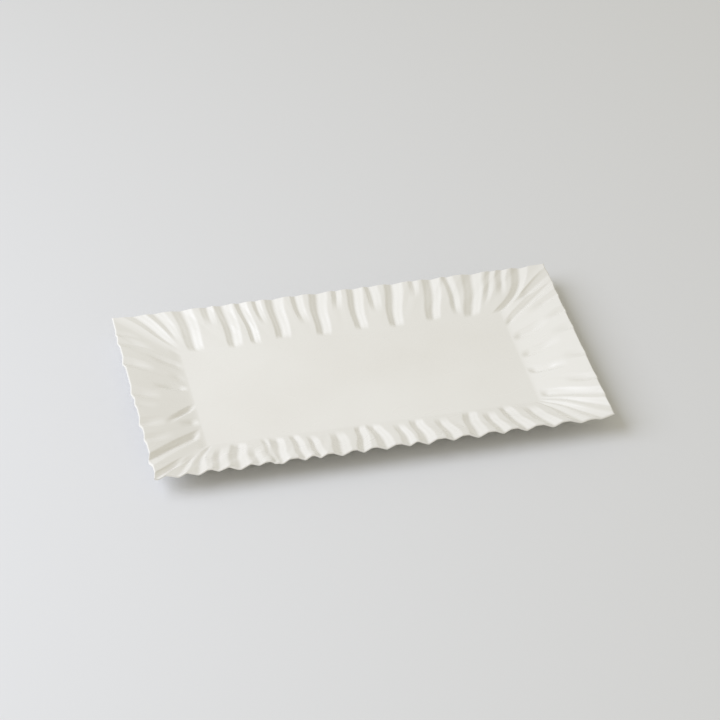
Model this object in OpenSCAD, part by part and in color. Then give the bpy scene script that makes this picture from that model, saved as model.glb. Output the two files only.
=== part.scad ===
// Pleated porcelain serving platter.
// A flat well, a shallow sloping rim on each of the four sides and a low foot
// ring under the floor. The rim is pressed up into soft irregular pleats, with a
// narrow groove between each two, that run from the well out to a thin scalloped
// lip and fan out at the corners.
// X runs along the length, Y across the width, and the foot stands on Z = 0
// at the middle of the platter.

/* [Overall size] */
// Length over the two end lips
platter_length = 384; // [320:1:460]
// Width over the front and back lips
platter_width = 226; // [190:1:280]
// Height of the lip above the table, at the bottom of a full groove
lip_height = 19; // [14:0.5:30]

/* [Rim] */
// Width of the sloping rim at the two ends, in plan
end_rim_width = 53; // [36:1:66]
// Width of the sloping rim along the front and back, in plan
side_rim_width = 50; // [36:1:60]
// Thickness of the porcelain at the lip
lip_thickness = 2.4; // [1.6:0.1:3.6]

/* [Pleats] */
// Height of the pleats above the bottom of a full groove between them
pleat_height = 2.6; // [0.6:0.1:3.6]
// Width of the grooves, as a share of the usual width
groove_width = 1; // [0.7:0.05:1.3]
// How far the lip is drawn in at a pleat
pleat_tuck = 1.8; // [0:0.1:3.6]
// Distance over which a groove deepens as it leaves the well
toe_length = 8; // [6:0.5:16]
// How unevenly the grooves begin along the edge of the well
toe_wander = 3.5; // [0:0.5:8]
// How far the grooves sway to and fro along their length
groove_sway = 0.7; // [0:0.1:1.5]

/* [Well] */
// Thickness of the floor slab, which is also the rim's thickness where they join
floor_thickness = 4; // [3:0.5:5]

/* [Foot ring] */
// Height of the foot ring
foot_height = 4; // [3:0.5:7]
// Width of the foot ring's wall
foot_width = 6; // [4:0.5:9]
// Distance from the edge of the well in to the foot ring's outer face
foot_inset = 9; // [4:1:18]
// Outer radius of the foot ring's four corners
foot_corner_radius = 16; // [10:1:24]

/* [Hidden] */

glaze_colour = [0.94, 0.93, 0.90];
bare_clay_colour = [0.86, 0.83, 0.77];

half_lip = [platter_length / 2, platter_width / 2];
rim_width = [end_rim_width, side_rim_width];
half_well = half_lip - rim_width;
floor_top = foot_height + floor_thickness;

// The grooves are laid out on a platter of this size, and stretch with it
laid_out_half_lip = [192, 113];
laid_out_half_well = [139, 63];

// Grooves of each side. A row is one groove: where its bottom meets the lip and
// where it meets the edge of the well, as millimetres from the side's middle, its
// depth as a share of a pleat's height, the widths of its walls towards the left or
// front and towards the right or back, how far its bottom bows to the right or back,
// and how far out on the rim it begins, as a share of the rim. Where that share is
// below nought, the groove begins at the well and has died away that far out.
back_grooves = [
    [-130, -124, 1, 10, 10, 0, 0], [-108, -108, 0.7, 7, 6, 0, 0.5], [-95, -91, 1, 8, 10, 0, 0],
    [-80, -73, 0.8, 5, 7, 0, 0], [-66, -61, 0.6, 4, 5, 0, 0.4], [-51, -50, 1.1, 8, 10, 0, 0],
    [-32, -27, 0.7, 5, 7, 0, 0.3], [-13, -16, 1.1, 8, 10, 0, 0], [4, 1, 0.6, 5, 5, 0, 0.5],
    [19, 17, 0.9, 7, 9, 0, 0], [33, 37, 0.7, 5, 8, 0, 0.35], [54, 47, 1.1, 8, 10, 0, 0],
    [73, 66, 0.5, 5, 5, 0, 0.55], [89, 81, 1.1, 9, 9, 0, 0], [103, 104, 0.7, 5, 6, 0, 0.05],
    [126, 115, 1.1, 10, 10, 0, 0], [143, 124, 0.5, 5, 5, 0, 0.2], [153, 139, 0.7, 6, 5, 0, 0.35],
    [168, 135, 1.1, 8, 8, 8, 0],
];
front_grooves = [
    [-139, -129, 0.7, 6, 8, 0, 0.1], [-122, -115, 1.1, 9, 9, 0, 0], [-106, -104, 0.6, 6, 6, 0, 0.3],
    [-87, -83, 1, 9, 7, 0, 0], [-93, -94, 0.4, 4, 4, 0, 0], [-68, -69, 0.8, 6, 6, 0, 0],
    [-55, -57, 0.8, 5, 6, 0, 0.1], [-37, -34, 1, 8, 9, 0, 0.1], [-19, -13, 0.9, 6, 7, 0, 0],
    [0, -2, 0.9, 8, 8, 0, 0], [19, 18, 0.8, 7, 6, 0, 0.1], [34, 33, 1.1, 8, 8, 0, 0],
    [55, 52, 0.9, 7, 8, 0, 0.1], [75, 78, 1.1, 8, 9, 0, 0], [96, 92, 0.9, 7, 7, 0, 0.1],
    [115, 107, 1, 7, 9, 0, 0], [138, 124, 1, 8, 9, 0, 0.1],
];
left_grooves = [
    [-88, -43, 1.2, 10, 8, 0, 0], [-60, -47, 0.5, 7, 7, 0, 0.5], [-57, -8, 0.9, 6, 6, 0, -0.6],
    [-45, -30, 0.9, 9, 7, 0, -0.4], [-38, -28, 0.8, 8, 8, 0, 0.55], [-12, -10, 0.4, 6, 6, 0, 0.6],
    [4, 3, 0.7, 9, 9, 0, 0.5], [20, 14, 0.8, 6, 6, 0, -0.65], [47, 38, 0.8, 8, 8, 0, 0.5],
    [45, 28, 0.4, 12, 10, 0, -0.35], [75, 45, 0.4, 10, 8, 0, -0.6], [77, 66, 0.6, 8, 8, 0, 0.45],
    [89, 78, 0.4, 5, 5, 0, 0.6],
];
right_grooves = [
    [-80, -52, 0.9, 8, 9, 0, 0], [-56, -42, 0.8, 6, 6, 0, 0.5], [-33, -20, 1.1, 7, 8, 0, -0.7],
    [-20, -14, 0.7, 8, 8, 0, 0.6], [5, 2, 0.9, 8, 8, 0, -0.75], [18, 14, 0.7, 7, 7, 0, 0.6],
    [42, 32, 0.8, 6, 6, 0, 0.6], [40, 26, 0.9, 9, 9, 0, -0.7], [66, 48, 0.8, 7, 7, 0, 0.4],
    [88, 46, 1, 8, 9, 2, 0],
];

// Grooves that fan out at each corner, in the same order of values. Here places
// and widths are degrees, from the way to the platter's end (0) round to the way
// to its front or back (90), and the first wall is the one nearer to the end.
back_left_fan = [
    [54, 60, 0.7, 6, 9, 0, 0.1], [68, 74, 0.6, 6, 9, 0, 0.25],
];
back_right_fan = [
    [34, 36, 1.5, 6, 6, 2, 0.25], [24, 14, 0.5, 8, 8, 0, 0.2],
];
front_left_fan = [
    [67, 55, 1, 8, 7, 0, 0], [55, 47, 0.9, 6, 5, 0, 0.2], [45, 45, 0.9, 5, 4, 0, 0.4],
];
front_right_fan = [
    [62, 55, 0.9, 10, 8, 0, 0], [50, 42, 0.6, 6, 6, 0, 0], [36, 28, 0.6, 7, 6, 0, 0],
];

// A side of the rim: [axis that it runs along, sign of the way out across it, grooves]
back_side = [0, 1, back_grooves];
left_side = [1, -1, left_grooves];
front_side = [0, -1, front_grooves];
right_side = [1, 1, right_grooves];
sides = [back_side, left_side, front_side, right_side];

// A corner's fan: [sign of X there, sign of Y there, grooves]
fans = [
    [-1, 1, back_left_fan],
    [1, 1, back_right_fan],
    [-1, -1, front_left_fan],
    [1, -1, front_right_fan],
];
// A fan's centre lies this far inside the corner of the well
fan_inset = 8;
// Distance from a fan's centre over which its grooves deepen
fan_reach = 45;

// Share of the rim over which a groove that begins part way out opens
groove_opening = 0.35;
// How much narrower the grooves are at the well than at the lip
narrowing = 0.25;
// Depth that grooves which run into each other can't pass, as a share of a pleat's height
deepest = 1.5;
// The sway along X repeats over these lengths along X and Y, and so does the sway along Y
sway_waves_x = [232, 41];
sway_waves_y = [47, 195];

// Lengths over which the uneven beginnings of the grooves repeat along a side
toe_waves = [29, 67];

// How softly the slope of the rim turns up out of the floor
turn_up = 0.05;
// How softly the slopes of two sides meet along a mitre
mitre_softness = 0.1;
// Share of the half side over which the lip's drawing in dies away at a corner
corner_share = 0.06;

// Spacing of the sections that the rim's skin is laid over
section_spacing = 2.8;
// Steps of the skin from the well (0) to the lip (1)
skin_steps = [0, 0.08, 0.19, 0.38, 0.6, 0.82];
// The lip's edge is half round
nose_angles = [90, 45, 0, -45, -90];
nose_radius = lip_thickness / 2;
nose_step = nose_radius / side_rim_width;

function clamp(v) = min(max(v, 0), 1);
function smooth(v) = clamp(v) * clamp(v) * (3 - 2 * clamp(v));
function total(v) = len(v) == 0 ? 0 : v * [for (item = v) 1];

// Section across a groove: 1 at its bottom, 0 at the tops of its walls (-1 and 1)
function hollow(v) = abs(v) < 1 ? 0.5 + 0.45 * cos(180 * v) + 0.05 * cos(540 * v) : 0;

// How far open a groove is, t of the way from the well (0) to the lip (1)
function opened(start, t) =
    start > 0 ? smooth((t - start) / groove_opening)
    : start < 0 ? smooth((-start - t) / groove_opening)
    : 1;

// Depth of one groove, as a share of a pleat's height. The stretch holds how much
// places have been stretched at the well and at the lip.
function groove_depth(groove, place, t, stretch, width) =
    let (
        bottom = groove[1] * stretch[0] * (1 - t) + groove[0] * stretch[1] * t
            + 4 * groove[5] * t * (1 - t),
        offset = place - bottom,
        wall = (offset < 0 ? groove[3] : groove[4]) * width * groove_width
    )
    abs(offset) < wall ? groove[2] * opened(groove[6], t) * hollow(offset / wall) : 0;

// The place that a groove is looked for at, after the grooves have swayed
function swayed(p) =
    [
        p[0] + groove_sway * sin(360 * (p[0] / sway_waves_x[0] + p[1] / sway_waves_x[1])),
        p[1] + groove_sway * sin(360 * (p[0] / sway_waves_y[0] - p[1] / sway_waves_y[1])),
    ];

// How far a place lies out past the edge of the well, in millimetres along X and Y
function past_well(p) = [abs(p[0]) - half_well[0], abs(p[1]) - half_well[1]];

// How late the grooves begin at a place along a side, from 0 to 1
function toe_share(place) = 0.5 + total([for (wave = toe_waves) 0.25 * sin(360 * place / wave)]);

// Depth of the grooves of one side
function side_depth(side, p) =
    let (
        along = side[0],
        across = 1 - along,
        out = p[across] * side[1] - half_well[across],
        t = clamp(out / rim_width[across]),
        stretch = [
            half_well[along] / laid_out_half_well[along],
            half_lip[along] / laid_out_half_lip[along],
        ],
        width = 1 - narrowing * (1 - t),
        place = swayed(p)[along],
        begun = smooth((out - toe_wander * toe_share(place)) / toe_length)
    )
    begun <= 0 ? 0 :
    begun * total([for (groove = side[2]) groove_depth(groove, place, t, stretch, width)]);

// Depth of the grooves that fan out at one corner
function fan_depth(fan, p) =
    let (
        out = past_well(p),
        t = clamp(max(out[0] / rim_width[0], out[1] / rim_width[1])),
        place = swayed(p),
        spread = [
            place[0] * fan[0] - half_well[0] + fan_inset,
            place[1] * fan[1] - half_well[1] + fan_inset,
        ],
        bearing = atan2(spread[1], spread[0]),
        deepened = smooth(max(out[0], out[1]) / toe_length) * clamp(norm(spread) / fan_reach)
    )
    spread[0] < 0 && spread[1] < 0 ? 0 :
    deepened * total([for (groove = fan[2]) groove_depth(groove, bearing, t, [1, 1], 1)]);

// Depth of all grooves at a place in plan, as a share of a pleat's height
function groove_share(p) =
    let (
        depth = total([for (side = sides) side_depth(side, p)]) + total([for (fan = fans) fan_depth(fan, p)])
    )
    depth / pow(1 + pow(depth / deepest, 4), 0.25);

// Share of the way from the edge of the well (0) to the lip (1), soft at the mitres
function slope(p) =
    let (
        out = past_well(p),
        shares = [out[0] / rim_width[0], out[1] / rim_width[1]],
        softness = mitre_softness * smooth(max(shares) / mitre_softness / 2)
    )
    (shares[0] + shares[1] + sqrt(pow(shares[0] - shares[1], 2) + softness * softness)) / 2;

// Height of the rim's top skin above the table
function top_height(p) =
    let (
        t = max(slope(p), 0),
        bend = (sqrt(t * t + turn_up * turn_up) - turn_up) / (sqrt(1 + turn_up * turn_up) - turn_up)
    )
    floor_top + (lip_height + pleat_height - floor_top) * bend - pleat_height * groove_share(p);

// Thickness of the rim, which thins from the floor slab to the lip
function thickness(p) = floor_thickness + (lip_thickness - floor_thickness) * clamp(slope(p));

// The same place in plan, after the pleats have drawn the lip in towards the well
function drawn_in(p) =
    let (
        out = past_well(p),
        t = clamp(max(out[0] / rim_width[0], out[1] / rim_width[1])),
        share = [for (i = [0, 1]) p[i] / (half_well[i] + rim_width[i] * t)],
        at_lip = [share[0] * half_lip[0], share[1] * half_lip[1]],
        pull = pleat_tuck * max(1 - groove_share(at_lip), 0) * smooth(t)
    )
    [
        for (i = [0, 1])
            p[i] - sign(p[i]) * pull * rim_width[i] / max(rim_width)
                * smooth((abs(share[i]) - 1 + corner_share) / corner_share)
    ];

// Place in plan of the point u along a side (-1 to 1) and t from well to lip
function plan(side, u, t) =
    let (
        along = side[0],
        a = u * (half_well[along] + rim_width[along] * t),
        b = side[1] * (half_well[1 - along] + rim_width[1 - along] * t)
    )
    along == 0 ? [a, b] : [b, a];

// One section through the rim: up the top skin, round the lip, back underneath
function section(side, u) =
    let (
        nose_middle = 1 - nose_step,
        nose_height = top_height(plan(side, u, nose_middle)) - nose_radius,
        skin = [
            for (t = skin_steps)
                let (p = plan(side, u, t))
                [drawn_in(p), top_height(p), thickness(p)]
        ]
    )
    [
        for (row = skin) [row[0][0], row[0][1], row[1]],
        for (angle = nose_angles)
            let (p = drawn_in(plan(side, u, nose_middle + nose_step * cos(angle))))
            [p[0], p[1], nose_height + nose_radius * sin(angle)],
        for (i = [len(skin) - 1:-1:0])
            let (row = skin[i])
            [row[0][0], row[0][1], row[1] - row[2]],
    ];

module rim(side) {
    sections = 2 * ceil(half_lip[side[0]] / section_spacing);
    skin = len(skin_steps);
    ring = 2 * skin + len(nose_angles);
    last = sections * ring;
    // Sections run so that every face is wound clockwise as seen from outside
    way = side[0] == 0 ? side[1] : -side[1];
    points = [for (i = [0:sections]) each section(side, way * (2 * i / sections - 1))];
    skins = [
        for (i = [0:sections - 1], k = [0:ring - 1])
            let (
                a = i * ring + k,
                b = i * ring + (k + 1) % ring
            )
            each [[a, b, b + ring], [a, b + ring, a + ring]],
    ];
    // The mitred ends are laid as a strip between the top and bottom skins
    ends = [
        for (k = [0:skin + 1])
            let (
                a = k,
                b = k + 1,
                c = ring - 2 - k,
                d = ring - 1 - k
            )
            each [
                [a, d, c], [a, c, b],
                [last + a, last + c, last + d], [last + a, last + b, last + c],
            ],
    ];
    polyhedron(points, concat(skins, [for (face = ends) if (face[1] != face[2] && face[0] != face[2]) face]));
}

// A flat rounded rectangle, of true arcs and flats
module rounded_block(length, width, height, radius) {
    translate([-length / 2 + radius, -width / 2, 0])
        cube([length - 2 * radius, width, height]);
    translate([-length / 2, -width / 2 + radius, 0])
        cube([length, width - 2 * radius, height]);
    for (x = [-1, 1], y = [-1, 1])
        translate([x * (length / 2 - radius), y * (width / 2 - radius), 0])
            cylinder(h = height, r = radius, $fn = 96);
}

// The flat slab that the well's floor is cut from
module well_floor() {
    color(glaze_colour)
        translate([-half_well[0], -half_well[1], foot_height])
            cube([2 * half_well[0], 2 * half_well[1], floor_thickness]);
}

module rim_back() {
    color(glaze_colour) rim(back_side);
}

module rim_front() {
    color(glaze_colour) rim(front_side);
}

module rim_left() {
    color(glaze_colour) rim(left_side);
}

module rim_right() {
    color(glaze_colour) rim(right_side);
}

// The ring luted under the floor, left bare where it stands on the table
module foot_ring() {
    ring_length = 2 * (half_well[0] - foot_inset);
    ring_width = 2 * (half_well[1] - foot_inset);
    color(bare_clay_colour)
        difference() {
            rounded_block(ring_length, ring_width, foot_height, foot_corner_radius);
            translate([0, 0, -1])
                rounded_block(ring_length - 2 * foot_width, ring_width - 2 * foot_width,
                    foot_height + 2, foot_corner_radius - foot_width);
        }
}

well_floor();
rim_back();
rim_front();
rim_left();
rim_right();
foot_ring();
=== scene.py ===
from collections import namedtuple
from math import cos, pi, radians, sin

import bpy
import numpy as np
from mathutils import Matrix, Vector


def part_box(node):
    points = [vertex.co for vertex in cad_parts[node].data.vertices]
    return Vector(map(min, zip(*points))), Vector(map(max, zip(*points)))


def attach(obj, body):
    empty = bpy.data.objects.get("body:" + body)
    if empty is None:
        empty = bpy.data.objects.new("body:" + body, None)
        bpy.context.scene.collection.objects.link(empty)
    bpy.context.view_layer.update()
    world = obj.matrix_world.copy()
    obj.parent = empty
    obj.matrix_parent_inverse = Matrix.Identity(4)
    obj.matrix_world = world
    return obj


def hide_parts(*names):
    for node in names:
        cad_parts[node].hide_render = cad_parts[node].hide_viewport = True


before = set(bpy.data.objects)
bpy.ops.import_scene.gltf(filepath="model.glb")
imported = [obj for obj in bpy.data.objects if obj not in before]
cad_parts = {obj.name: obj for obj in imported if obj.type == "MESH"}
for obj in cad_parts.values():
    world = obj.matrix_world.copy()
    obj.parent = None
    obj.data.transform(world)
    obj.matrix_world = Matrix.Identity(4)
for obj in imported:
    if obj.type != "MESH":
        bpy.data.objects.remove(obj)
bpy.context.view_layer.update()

mm = 0.001


# ---------------------------------------------------------------------------
# The view. A long lens looks down on the platter from in front and a little to
# the left, so that its sides stay nearly parallel.
# ---------------------------------------------------------------------------
view_azimuth = radians(-12.5)
view_elevation = radians(36.1)
view_distance = 2.73
view_target = Vector((9.4, 35.0, 0.0)) * mm
lens_length = 161.0
view_reach = 20.0

towards_camera = Vector((
    sin(view_azimuth) * cos(view_elevation),
    -cos(view_azimuth) * cos(view_elevation),
    sin(view_elevation),
))
camera_data = bpy.data.cameras.new("view")
camera_data.lens = lens_length
camera_data.clip_end = view_reach
camera = bpy.data.objects.new("view", camera_data)
camera.location = view_target + towards_camera * view_distance
camera.rotation_euler = towards_camera.to_track_quat("Z", "Y").to_euler()
bpy.context.scene.collection.objects.link(camera)
bpy.context.scene.camera = camera


# ---------------------------------------------------------------------------
# The table and the light. A broad pale grey sheet lies under the platter. One
# large soft window of light stands to the left, and the room fills in the rest.
# ---------------------------------------------------------------------------
table_side = 6.0
table_grey = (0.79, 0.79, 0.79, 1.0)
table_roughness = 0.85
table_shine = 0.2
window_centre = Vector((-1.50, 0.0, 1.42))
window_size = (1.8, 1.7)
window_watts = 33.0
window_tint = (0.79, 0.84, 1.0)
room_tint = (1.0, 0.965, 0.83, 1.0)
room_strength = 0.535


def new_material(name):
    material = bpy.data.materials.new(name)
    material.use_nodes = True
    nodes = material.node_tree.nodes
    return material, nodes, material.node_tree.links, nodes["Principled BSDF"]


half_table = table_side / 2
table_mesh = bpy.data.meshes.new("table")
table_mesh.from_pydata(
    [(x * half_table, y * half_table, 0.0) for x, y in ((-1, -1), (1, -1), (1, 1), (-1, 1))],
    [],
    [(0, 1, 2, 3)],
)
table = bpy.data.objects.new("table", table_mesh)
bpy.context.scene.collection.objects.link(table)
table_paper, nodes, links, shader = new_material("table_paper")
shader.inputs["Base Color"].default_value = table_grey
shader.inputs["Roughness"].default_value = table_roughness
shader.inputs["Specular IOR Level"].default_value = table_shine
table_mesh.materials.append(table_paper)

window_data = bpy.data.lights.new("window", "AREA")
window_data.shape = "RECTANGLE"
window_data.size, window_data.size_y = window_size
window_data.energy = window_watts
window_data.color = window_tint
window = bpy.data.objects.new("window", window_data)
window.location = window_centre
window.rotation_euler = window_centre.to_track_quat("Z", "Y").to_euler()
bpy.context.scene.collection.objects.link(window)

room = bpy.data.worlds.new("room")
room.use_nodes = True
room.node_tree.nodes["Background"].inputs["Color"].default_value = room_tint
room.node_tree.nodes["Background"].inputs["Strength"].default_value = room_strength
bpy.context.scene.world = room
bpy.context.scene.view_settings.view_transform = "Standard"


# ---------------------------------------------------------------------------
# The floor of the well: a flat slab of porcelain, rolled out and glazed on top and
# below. Its edge is laid in rings that follow the rim, so that the two run together
# without a seam.
# ---------------------------------------------------------------------------
floor_low, floor_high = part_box("well_floor")
half_well = np.array([floor_high[0], floor_high[1]], float)
half_lip = np.array([192.0, 113.0]) * mm
rim_width = half_lip - half_well
floor_top = float(floor_high[2])
floor_thickness = float(floor_high[2] - floor_low[2])
lip_thickness = 2.4 * mm
lip_height = 19.0 * mm
pleat_height = 2.6 * mm
pleat_tuck = 1.8 * mm

# Shares of the rim's width: how wide the turn up out of the floor is, how softly two
# sides run together at a mitre, and how long a groove that begins or ends part of the
# way out takes to do so. The last is the share of a side, at its corners, where the
# lip is drawn in both ways.
turn_up = 0.05
mitre_softness = 0.10
groove_opening = 0.35
corner_share = 0.06

# The grooves open over a short toe at the well. They wander in and out where they
# begin, in waves of these lengths in millimetres, and sway a little on their way out.
toe_length = 8.0 * mm
toe_wander = 3.5 * mm
toe_waves = (29.0, 67.0)
groove_sway = 0.7 * mm
sway_waves_x = (232.0 * mm, 41.0 * mm)
sway_waves_y = (47.0 * mm, 195.0 * mm)

# A groove is narrower at the well than at the lip by this share, and its walls are
# this much straighter than a plain wave's. Where grooves cross, they are held to
# about this many times a pleat's height.
narrowing = 0.25
straightness = 0.1
deepest = 1.5

# A corner's fan spreads from a point this far inside the well's corner, and its
# grooves are at full depth this far from that point.
fan_inset = 8.0 * mm
fan_reach = 45.0 * mm

column_spacing = 1.2 * mm
floor_rings = 3
floor_ring_depth = 12.0 * mm
ring_crowding = 1.3

# The rim is pressed up into one broad pleat after another, with a narrow groove
# between each two. A groove is given by where its bottom meets the lip and the
# well's edge, its depth as a share of a pleat's height, the widths of its walls
# towards the left or front and towards the right or back, how far its bottom bows
# to the right or back, and how far out it begins, as a share of the rim. Where that
# is below nought, the groove starts at the well and has died away that far out.
# Along a side, places are millimetres from the side's middle, as are the widths.
Groove = namedtuple("Groove", "lip foot depth before after bow start", defaults=(0, 0))
back_grooves = [
    Groove(-130, -124, 1.0, 10, 10), Groove(-108, -108, 0.7, 7, 6, 0, 0.5),
    Groove(-95, -91, 1.0, 8, 10), Groove(-80, -73, 0.8, 5, 7), Groove(-66, -61, 0.6, 4, 5, 0, 0.4),
    Groove(-51, -50, 1.1, 8, 10), Groove(-32, -27, 0.7, 5, 7, 0, 0.3), Groove(-13, -16, 1.1, 8, 10),
    Groove(4, 1, 0.6, 5, 5, 0, 0.5), Groove(19, 17, 0.9, 7, 9), Groove(33, 37, 0.7, 5, 8, 0, 0.35),
    Groove(54, 47, 1.1, 8, 10), Groove(73, 66, 0.5, 5, 5, 0, 0.55), Groove(89, 81, 1.1, 9, 9),
    Groove(103, 104, 0.7, 5, 6, 0, 0.05), Groove(126, 115, 1.1, 10, 10),
    Groove(143, 124, 0.5, 5, 5, 0, 0.2), Groove(153, 139, 0.7, 6, 5, 0, 0.35),
    Groove(168, 135, 1.1, 8, 8, 8),
]
front_grooves = [
    Groove(-139, -129, 0.7, 6, 8, 0, 0.1), Groove(-122, -115, 1.1, 9, 9),
    Groove(-106, -104, 0.6, 6, 6, 0, 0.3), Groove(-87, -83, 1.0, 9, 7), Groove(-93, -94, 0.4, 4, 4),
    Groove(-68, -69, 0.8, 6, 6), Groove(-55, -57, 0.8, 5, 6, 0, 0.1),
    Groove(-37, -34, 1.0, 8, 9, 0, 0.1), Groove(-19, -13, 0.9, 6, 7), Groove(0, -2, 0.9, 8, 8),
    Groove(19, 18, 0.8, 7, 6, 0, 0.1), Groove(34, 33, 1.1, 8, 8), Groove(55, 52, 0.9, 7, 8, 0, 0.1),
    Groove(75, 78, 1.1, 8, 9), Groove(96, 92, 0.9, 7, 7, 0, 0.1), Groove(115, 107, 1.0, 7, 9),
    Groove(138, 124, 1.0, 8, 9, 0, 0.1),
]
left_grooves = [
    Groove(-88, -43, 1.2, 10, 8), Groove(-60, -47, 0.5, 7, 7, 0, 0.5),
    Groove(-57, -8, 0.9, 6, 6, 0, -0.6), Groove(-45, -30, 0.9, 9, 7, 0, -0.4),
    Groove(-38, -28, 0.8, 8, 8, 0, 0.55), Groove(-12, -10, 0.4, 6, 6, 0, 0.6),
    Groove(4, 3, 0.7, 9, 9, 0, 0.5), Groove(20, 14, 0.8, 6, 6, 0, -0.65),
    Groove(47, 38, 0.8, 8, 8, 0, 0.5), Groove(45, 28, 0.4, 12, 10, 0, -0.35),
    Groove(75, 45, 0.4, 10, 8, 0, -0.6), Groove(77, 66, 0.6, 8, 8, 0, 0.45),
    Groove(89, 78, 0.4, 5, 5, 0, 0.6),
]
right_grooves = [
    Groove(-80, -52, 0.9, 8, 9), Groove(-56, -42, 0.8, 6, 6, 0, 0.5),
    Groove(-33, -20, 1.1, 7, 8, 0, -0.7), Groove(-20, -14, 0.7, 8, 8, 0, 0.6),
    Groove(5, 2, 0.9, 8, 8, 0, -0.75), Groove(18, 14, 0.7, 7, 7, 0, 0.6),
    Groove(42, 32, 0.8, 6, 6, 0, 0.6), Groove(40, 26, 0.9, 9, 9, 0, -0.7),
    Groove(66, 48, 0.8, 7, 7, 0, 0.4), Groove(88, 46, 1.0, 8, 9, 2),
]

# A side of the rim: the plan axis that it runs along, the sign of the way out
# across it, and its grooves.
Side = namedtuple("Side", "along outward grooves")
sides = {
    "rim_back": Side(0, 1, back_grooves),
    "rim_left": Side(1, -1, left_grooves),
    "rim_front": Side(0, -1, front_grooves),
    "rim_right": Side(1, 1, right_grooves),
}

# At a corner the grooves fan out from a point a little inside the well's corner.
# There, places and widths are degrees from the way to the platter's end (0) round
# to the way to its front or back (90), and before is the wall nearer to the end.
Fan = namedtuple("Fan", "x y grooves")
fans = [
    Fan(-1, 1, [Groove(54, 60, 0.7, 6, 9, 0, 0.1), Groove(68, 74, 0.6, 6, 9, 0, 0.25)]),
    Fan(1, 1, [Groove(34, 36, 1.5, 6, 6, 2, 0.25), Groove(24, 14, 0.5, 8, 8, 0, 0.2)]),
    Fan(-1, -1, [
        Groove(67, 55, 1.0, 8, 7), Groove(55, 47, 0.9, 6, 5, 0, 0.2),
        Groove(45, 45, 0.9, 5, 4, 0, 0.4),
    ]),
    Fan(1, -1, [Groove(62, 55, 0.9, 10, 8), Groove(50, 42, 0.6, 6, 6), Groove(36, 28, 0.6, 7, 6)]),
]


def smooth(value):
    held = np.clip(value, 0.0, 1.0)
    return held * held * (3.0 - 2.0 * held)


def cut(grooves, place, t, width):
    """How deep the grooves are at a place, as a share of a pleat's height."""
    depth = np.zeros_like(t)
    for groove in grooves:
        bottom = groove.foot * (1 - t) + groove.lip * t + 4 * groove.bow * t * (1 - t)
        offset = place - bottom
        wall = np.where(offset < 0, groove.before, groove.after) * width
        across = np.clip(offset / wall, -1.0, 1.0)
        opened = 1.0
        if groove.start > 0:
            opened = smooth((t - groove.start) / groove_opening)
        if groove.start < 0:
            opened = smooth((-groove.start - t) / groove_opening)
        wall_wave = (1 - straightness) * np.cos(pi * across) + straightness * np.cos(3 * pi * across)
        depth += opened * groove.depth * (1 + wall_wave) / 2
    return depth


def toe_share(place):
    """How late the grooves begin at a place along a side, from 0 to 1."""
    waves = sum(np.sin(2 * pi * place / length) for length in toe_waves)
    return (1 + waves / len(toe_waves)) / 2


def slope(plan):
    """How far out from the well's edge (0) to the lip (1), softly joined at the mitres."""
    out = (np.abs(plan) - half_well) / rim_width
    further, nearer = out.max(axis=-1), out.min(axis=-1)
    softness = mitre_softness * smooth(further / mitre_softness / 2)
    return (further + nearer + np.sqrt((further - nearer) ** 2 + softness**2)) / 2


def groove_share(plan):
    """How deep the grooves are at places in plan, as a share of a pleat's height."""
    x, y = plan[..., 0], plan[..., 1]
    sway_x = np.sin(2 * pi * (x / sway_waves_x[0] + y / sway_waves_x[1]))
    sway_y = np.sin(2 * pi * (x / sway_waves_y[0] - y / sway_waves_y[1]))
    swayed = plan + groove_sway * np.stack([sway_x, sway_y], axis=-1)
    out = np.abs(plan) - half_well
    depth = np.zeros(plan.shape[:-1])
    for side in sides.values():
        across = 1 - side.along
        beyond = np.where(plan[..., across] * side.outward > 0, out[..., across], -1.0)
        t = np.clip(beyond / rim_width[across], 0.0, 1.0)
        place = swayed[..., side.along] / mm
        begun = smooth((beyond - toe_wander * toe_share(place)) / toe_length)
        depth += begun * cut(side.grooves, place, t, 1 - narrowing * (1 - t))
    t = np.clip((out / rim_width).max(axis=-1), 0.0, 1.0)
    for fan in fans:
        spread = swayed * np.array([fan.x, fan.y]) - (half_well - fan_inset)
        radius = np.hypot(spread[..., 0], spread[..., 1])
        bearing = np.degrees(np.arctan2(spread[..., 1], spread[..., 0]))
        opened = smooth(out.max(axis=-1) / toe_length) * np.clip(radius / fan_reach, 0.0, 1.0)
        depth += opened * cut(fan.grooves, bearing, t, 1.0)
    return depth / (1 + (depth / deepest) ** 4) ** 0.25


def drawn_in(plan):
    """The same places in plan, after the pleats have drawn the lip in towards the well."""
    out = (np.abs(plan) - half_well) / rim_width
    t = np.clip(out.max(axis=-1), 0.0, 1.0)
    share = plan / (half_well + rim_width * t[..., None])
    pull = pleat_tuck * np.maximum(1 - groove_share(share * half_lip), 0.0) * smooth(t)
    reached = smooth((np.abs(share) - 1 + corner_share) / corner_share)
    return plan - np.sign(plan) * reached * pull[..., None] * rim_width / rim_width.max()


def top_height(plan):
    """The height of the top skin: flat in the well, then a turn up into the slope."""
    t = np.maximum(slope(plan), 0.0)
    bend = (np.sqrt(t * t + turn_up**2) - turn_up) / (np.sqrt(1 + turn_up**2) - turn_up)
    ungrooved = floor_top + (lip_height + pleat_height - floor_top) * bend
    return ungrooved - pleat_height * groove_share(plan)


def thickness(plan):
    """The thickness of the clay, which thins evenly from the floor to the lip."""
    return floor_thickness + (lip_thickness - floor_thickness) * np.clip(slope(plan), 0.0, 1.0)


def top_skin(plan):
    return np.concatenate([drawn_in(plan), top_height(plan)[..., None]], axis=-1)


def under_skin(plan):
    height = top_height(plan) - thickness(plan)
    return np.concatenate([drawn_in(plan), height[..., None]], axis=-1)


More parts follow.
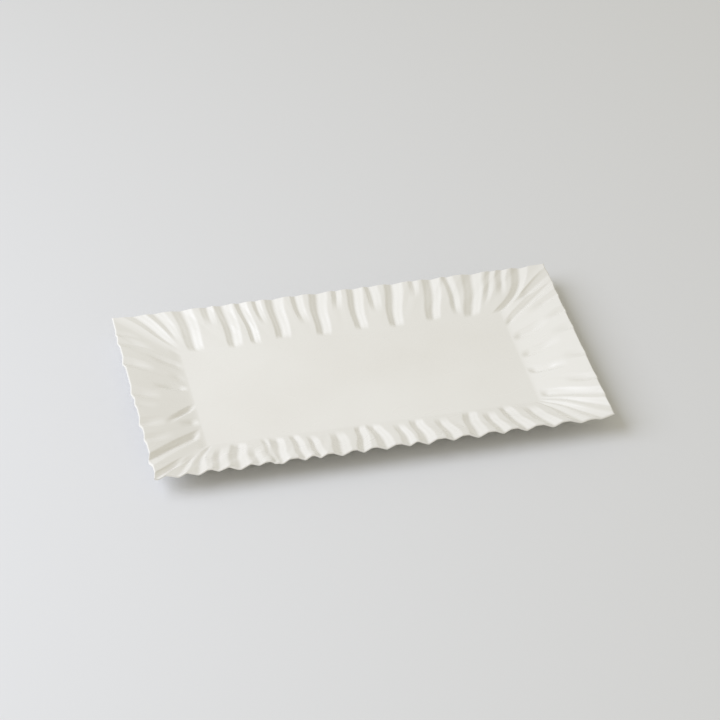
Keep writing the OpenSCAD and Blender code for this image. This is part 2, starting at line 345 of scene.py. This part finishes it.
def normals_of(skin, plan, turned):
    """The way the skin faces at each place, from how it changes a little way off."""
    step = 0.15 * mm
    ahead = skin(plan + np.array([step, 0.0])) - skin(plan - np.array([step, 0.0]))
    aside = skin(plan + np.array([0.0, step])) - skin(plan - np.array([0.0, step]))
    facing = np.cross(ahead, aside) * turned
    return facing / np.linalg.norm(facing, axis=-1, keepdims=True)


def shares_along(side):
    """Even steps along a side, from one corner (-1) to the other (1)."""
    steps = 2 * int(half_lip[side.along] / column_spacing)
    return np.linspace(-1.0, 1.0, steps + 1)


def plan_row(side, shares, t):
    """Places in plan along a side, t of the way from the well's edge to the lip."""
    row = np.empty((len(shares), 2))
    reach = half_well + rim_width * t
    row[:, side.along] = shares * reach[side.along]
    row[:, 1 - side.along] = side.outward * reach[1 - side.along]
    return row


def well_ring(inset):
    """A closed ring of places, inset from the well's edge, without repeated corners."""
    parts = []
    for name, turn in (("rim_front", 1), ("rim_right", 1), ("rim_back", -1), ("rim_left", -1)):
        row = plan_row(sides[name], shares_along(sides[name])[::turn], 0.0)[:-1]
        parts.append(row * (half_well - inset) / half_well)
    return np.concatenate(parts)


def new_piece(name, points, normals, faces, material):
    """A closed mesh object, with the way that each of its points faces given one by one."""
    mesh = bpy.data.meshes.new(name)
    mesh.from_pydata(points.tolist(), [], faces)
    mesh.polygons.foreach_set("use_smooth", [True] * len(mesh.polygons))
    mesh.update()
    mesh.validate()
    mesh.normals_split_custom_set_from_vertices(normals.tolist())
    mesh.materials.append(material)
    piece = bpy.data.objects.new(name, mesh)
    bpy.context.scene.collection.objects.link(piece)
    return piece


# The glaze: warm white, with a soft shine. Its colour and its shine cloud a little
# from place to place, and it has the faint ripple of a dipped glaze. The scales are
# repeats per metre.
glaze_darker = (0.885, 0.864, 0.811, 1.0)
glaze_lighter = (0.915, 0.898, 0.849, 1.0)
glaze_roughness = (0.22, 0.34)
glaze_ior = 1.5
cloud_scale, cloud_detail = 9.0, 3.0
shine_scale, shine_detail = 30.0, 2.0
ripple_scale, ripple_detail = 60.0, 2.0
ripple_strength = 0.25
ripple_depth = 0.4 * mm
narrow_band = (0.35, 0.65)
broad_band = (0.3, 0.7)


def noise(nodes, links, scale, detail, spot):
    """A soft random pattern in object space, from 0 to 1 and mostly near the middle."""
    pattern = nodes.new("ShaderNodeTexNoise")
    pattern.inputs["Scale"].default_value = scale
    pattern.inputs["Detail"].default_value = detail
    links.new(spot, pattern.inputs["Vector"])
    return pattern.outputs["Fac"]


def mapped(nodes, links, pattern, band, wanted):
    """The pattern, moved from a band of its values to the wanted range and held there."""
    spread = nodes.new("ShaderNodeMapRange")
    spread.inputs["From Min"].default_value, spread.inputs["From Max"].default_value = band
    spread.inputs["To Min"].default_value, spread.inputs["To Max"].default_value = wanted
    links.new(pattern, spread.inputs["Value"])
    return spread.outputs["Result"]


def two_toned(nodes, links, shader, pattern, darker, lighter):
    """Colour the surface from one tone to the other, as the pattern goes."""
    tint = nodes.new("ShaderNodeMix")
    tint.data_type = "RGBA"
    tint.inputs["A"].default_value = darker
    tint.inputs["B"].default_value = lighter
    links.new(mapped(nodes, links, pattern, narrow_band, (0.0, 1.0)), tint.inputs["Factor"])
    links.new(tint.outputs["Result"], shader.inputs["Base Color"])


def uneven(nodes, links, shader, pattern, strength, depth):
    """Tilt the surface a little, as if the pattern were raised on it by this depth."""
    relief = nodes.new("ShaderNodeBump")
    relief.inputs["Strength"].default_value = strength
    relief.inputs["Distance"].default_value = depth
    links.new(pattern, relief.inputs["Height"])
    links.new(relief.outputs["Normal"], shader.inputs["Normal"])


white_glaze, nodes, links, shader = new_material("white_glaze")
spot = nodes.new("ShaderNodeTexCoord").outputs["Object"]
cloud = noise(nodes, links, cloud_scale, cloud_detail, spot)
two_toned(nodes, links, shader, cloud, glaze_darker, glaze_lighter)
shine = noise(nodes, links, shine_scale, shine_detail, spot)
links.new(mapped(nodes, links, shine, broad_band, glaze_roughness), shader.inputs["Roughness"])
shader.inputs["IOR"].default_value = glaze_ior
ripple = noise(nodes, links, ripple_scale, ripple_detail, spot)
uneven(nodes, links, shader, ripple, ripple_strength, ripple_depth)

outer_ring = well_ring(0.0)
ring_size = len(outer_ring)
insets = floor_ring_depth * np.linspace(0.0, 1.0, floor_rings) ** ring_crowding
rings = [well_ring(inset) for inset in insets]
underside = np.full((ring_size, 1), floor_top - floor_thickness)
under_ring = np.concatenate([outer_ring, underside], axis=-1)
points = np.concatenate([under_ring] + [top_skin(ring) for ring in rings])
downward = np.tile([0.0, 0.0, -1.0], (ring_size, 1))
facings = np.concatenate([downward] + [normals_of(top_skin, ring, 1) for ring in rings])
faces = [
    (r * ring_size + i, r * ring_size + (i + 1) % ring_size,
     (r + 1) * ring_size + (i + 1) % ring_size, (r + 1) * ring_size + i)
    for r in range(floor_rings)
    for i in range(ring_size)
]
faces.append(tuple(range(ring_size))[::-1])
faces.append(tuple(range(floor_rings * ring_size, (floor_rings + 1) * ring_size)))
floor = new_piece("well_floor_glazed", points, facings, faces, white_glaze)
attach(floor, "root")
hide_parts("well_floor")


# ---------------------------------------------------------------------------
# The rim: four sides of thin porcelain that slope up and out from the floor and
# meet in mitres at the corners. They are crimped by hand while the clay is soft,
# and the lip is sponged round.
# ---------------------------------------------------------------------------
skin_rows = 34
lip_rows = 8
under_rows = 20
lip_radius = lip_thickness / 2
lip_share = lip_radius / rim_width.min()


def lip_points(side, shares, angle):
    """A row round the lip, angle above the horizontal, and the way that it faces."""
    centre_row = plan_row(side, shares, 1.0 - lip_share)
    centre_top = top_height(centre_row)
    row = drawn_in(plan_row(side, shares, 1.0 - lip_share + lip_share * cos(angle)))
    height = centre_top - lip_radius + lip_radius * sin(angle)
    points = np.concatenate([row, height[:, None]], axis=-1)
    along = np.gradient(np.concatenate([row, centre_top[:, None]], axis=-1), axis=0)
    up = normals_of(top_skin, centre_row, 1)
    out = np.cross(along, up)
    out *= np.sign(out[:, 1 - side.along] * side.outward)[:, None]
    out /= np.linalg.norm(out, axis=-1, keepdims=True)
    return points, out * cos(angle) + up * sin(angle)


for name, side in sides.items():
    shares = shares_along(side)
    rows = []
    for t in (1.0 - lip_share) * np.linspace(0.0, 1.0, skin_rows):
        row = plan_row(side, shares, t)
        rows.append((top_skin(row), normals_of(top_skin, row, 1)))
    for angle in np.linspace(pi / 2, -pi / 2, lip_rows + 2)[1:-1]:
        rows.append(lip_points(side, shares, angle))
    for t in (1.0 - lip_share) * np.linspace(1.0, 0.0, under_rows):
        row = plan_row(side, shares, t)
        rows.append((under_skin(row), normals_of(under_skin, row, -1)))
    count = len(rows)
    columns = len(shares)
    points = np.concatenate([row[0] for row in rows])
    facings = np.concatenate([row[1] for row in rows])
    turned = 1 if (side.along == 0) == (side.outward == 1) else -1
    faces = [
        (r * columns + i, r * columns + i + 1,
         (r + 1) % count * columns + i + 1, (r + 1) % count * columns + i)[::turned]
        for r in range(count)
        for i in range(columns - 1)
    ]
    faces.append(tuple(r * columns for r in range(count))[::turned])
    faces.append(tuple(r * columns + columns - 1 for r in range(count))[::-turned])
    rim = new_piece(name + "_pleated", points, facings, faces, white_glaze)
    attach(rim, "root")
    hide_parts(name)


# ---------------------------------------------------------------------------
# The foot ring: a low rounded frame of the same clay, luted under the floor. Its
# standing edge is wiped clean of glaze so that it doesn't stick in the kiln.
# ---------------------------------------------------------------------------
foot_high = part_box("foot_ring")[1]
foot_width = 6.0 * mm
foot_radius = 16.0 * mm
foot_edge = 1.1 * mm
corner_steps = 16
edge_steps = 6
clay_darker = (0.66, 0.62, 0.54, 1.0)
clay_lighter = (0.76, 0.73, 0.66, 1.0)
clay_roughness = 0.8
clay_shine = 0.3
grain_scale, grain_detail = 900.0, 4.0
grain_strength = 0.5
grain_depth = 0.2 * mm

bare_porcelain, nodes, links, shader = new_material("bare_porcelain")
spot = nodes.new("ShaderNodeTexCoord").outputs["Object"]
grain = noise(nodes, links, grain_scale, grain_detail, spot)
two_toned(nodes, links, shader, grain, clay_darker, clay_lighter)
shader.inputs["Roughness"].default_value = clay_roughness
shader.inputs["Specular IOR Level"].default_value = clay_shine
uneven(nodes, links, shader, grain, grain_strength, grain_depth)


def rounded_loop(half_x, half_y, radius, height):
    """Points round a rectangle with rounded corners, and the way out at each."""
    points, out = [], []
    for corner, (x, y) in enumerate(((1, 1), (-1, 1), (-1, -1), (1, -1))):
        for step in range(corner_steps + 1):
            angle = (corner + step / corner_steps) * pi / 2
            points.append((
                x * (half_x - radius) + radius * cos(angle),
                y * (half_y - radius) + radius * sin(angle),
                height,
            ))
            out.append((cos(angle), sin(angle), 0.0))
    return np.array(points), np.array(out)


half_foot = np.array([foot_high[0], foot_high[1]], float)
foot_top = float(foot_high[2])
# The ring's section: inset from the outer face, height, and the way it faces,
# outwards and up.
section = [(0.0, foot_top, 1.0, 0.0), (0.0, foot_edge, 1.0, 0.0)]
for step in range(1, edge_steps):
    angle = step / edge_steps * pi / 2
    inset = foot_edge * (1 - cos(angle))
    section.append((inset, foot_edge * (1 - sin(angle)), cos(angle), -sin(angle)))
section.append((foot_edge, 0.0, 0.0, -1.0))
section += [(foot_width - inset, height, -way, up) for inset, height, way, up in reversed(section)]
loops = []
facings = []
for inset, height, way, up in section:
    loop, out = rounded_loop(half_foot[0] - inset, half_foot[1] - inset, foot_radius - inset, height)
    loops.append(loop)
    facings.append(out * way + np.array([0.0, 0.0, up]))
loop_size = len(loops[0])
faces = [
    (r * loop_size + i, (r + 1) % len(loops) * loop_size + i,
     (r + 1) % len(loops) * loop_size + (i + 1) % loop_size, r * loop_size + (i + 1) % loop_size)
    for r in range(len(loops))
    for i in range(loop_size)
]
points, facings = np.concatenate(loops), np.concatenate(facings)
foot = new_piece("foot_ring_turned", points, facings, faces, bare_porcelain)
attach(foot, "root")
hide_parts("foot_ring")
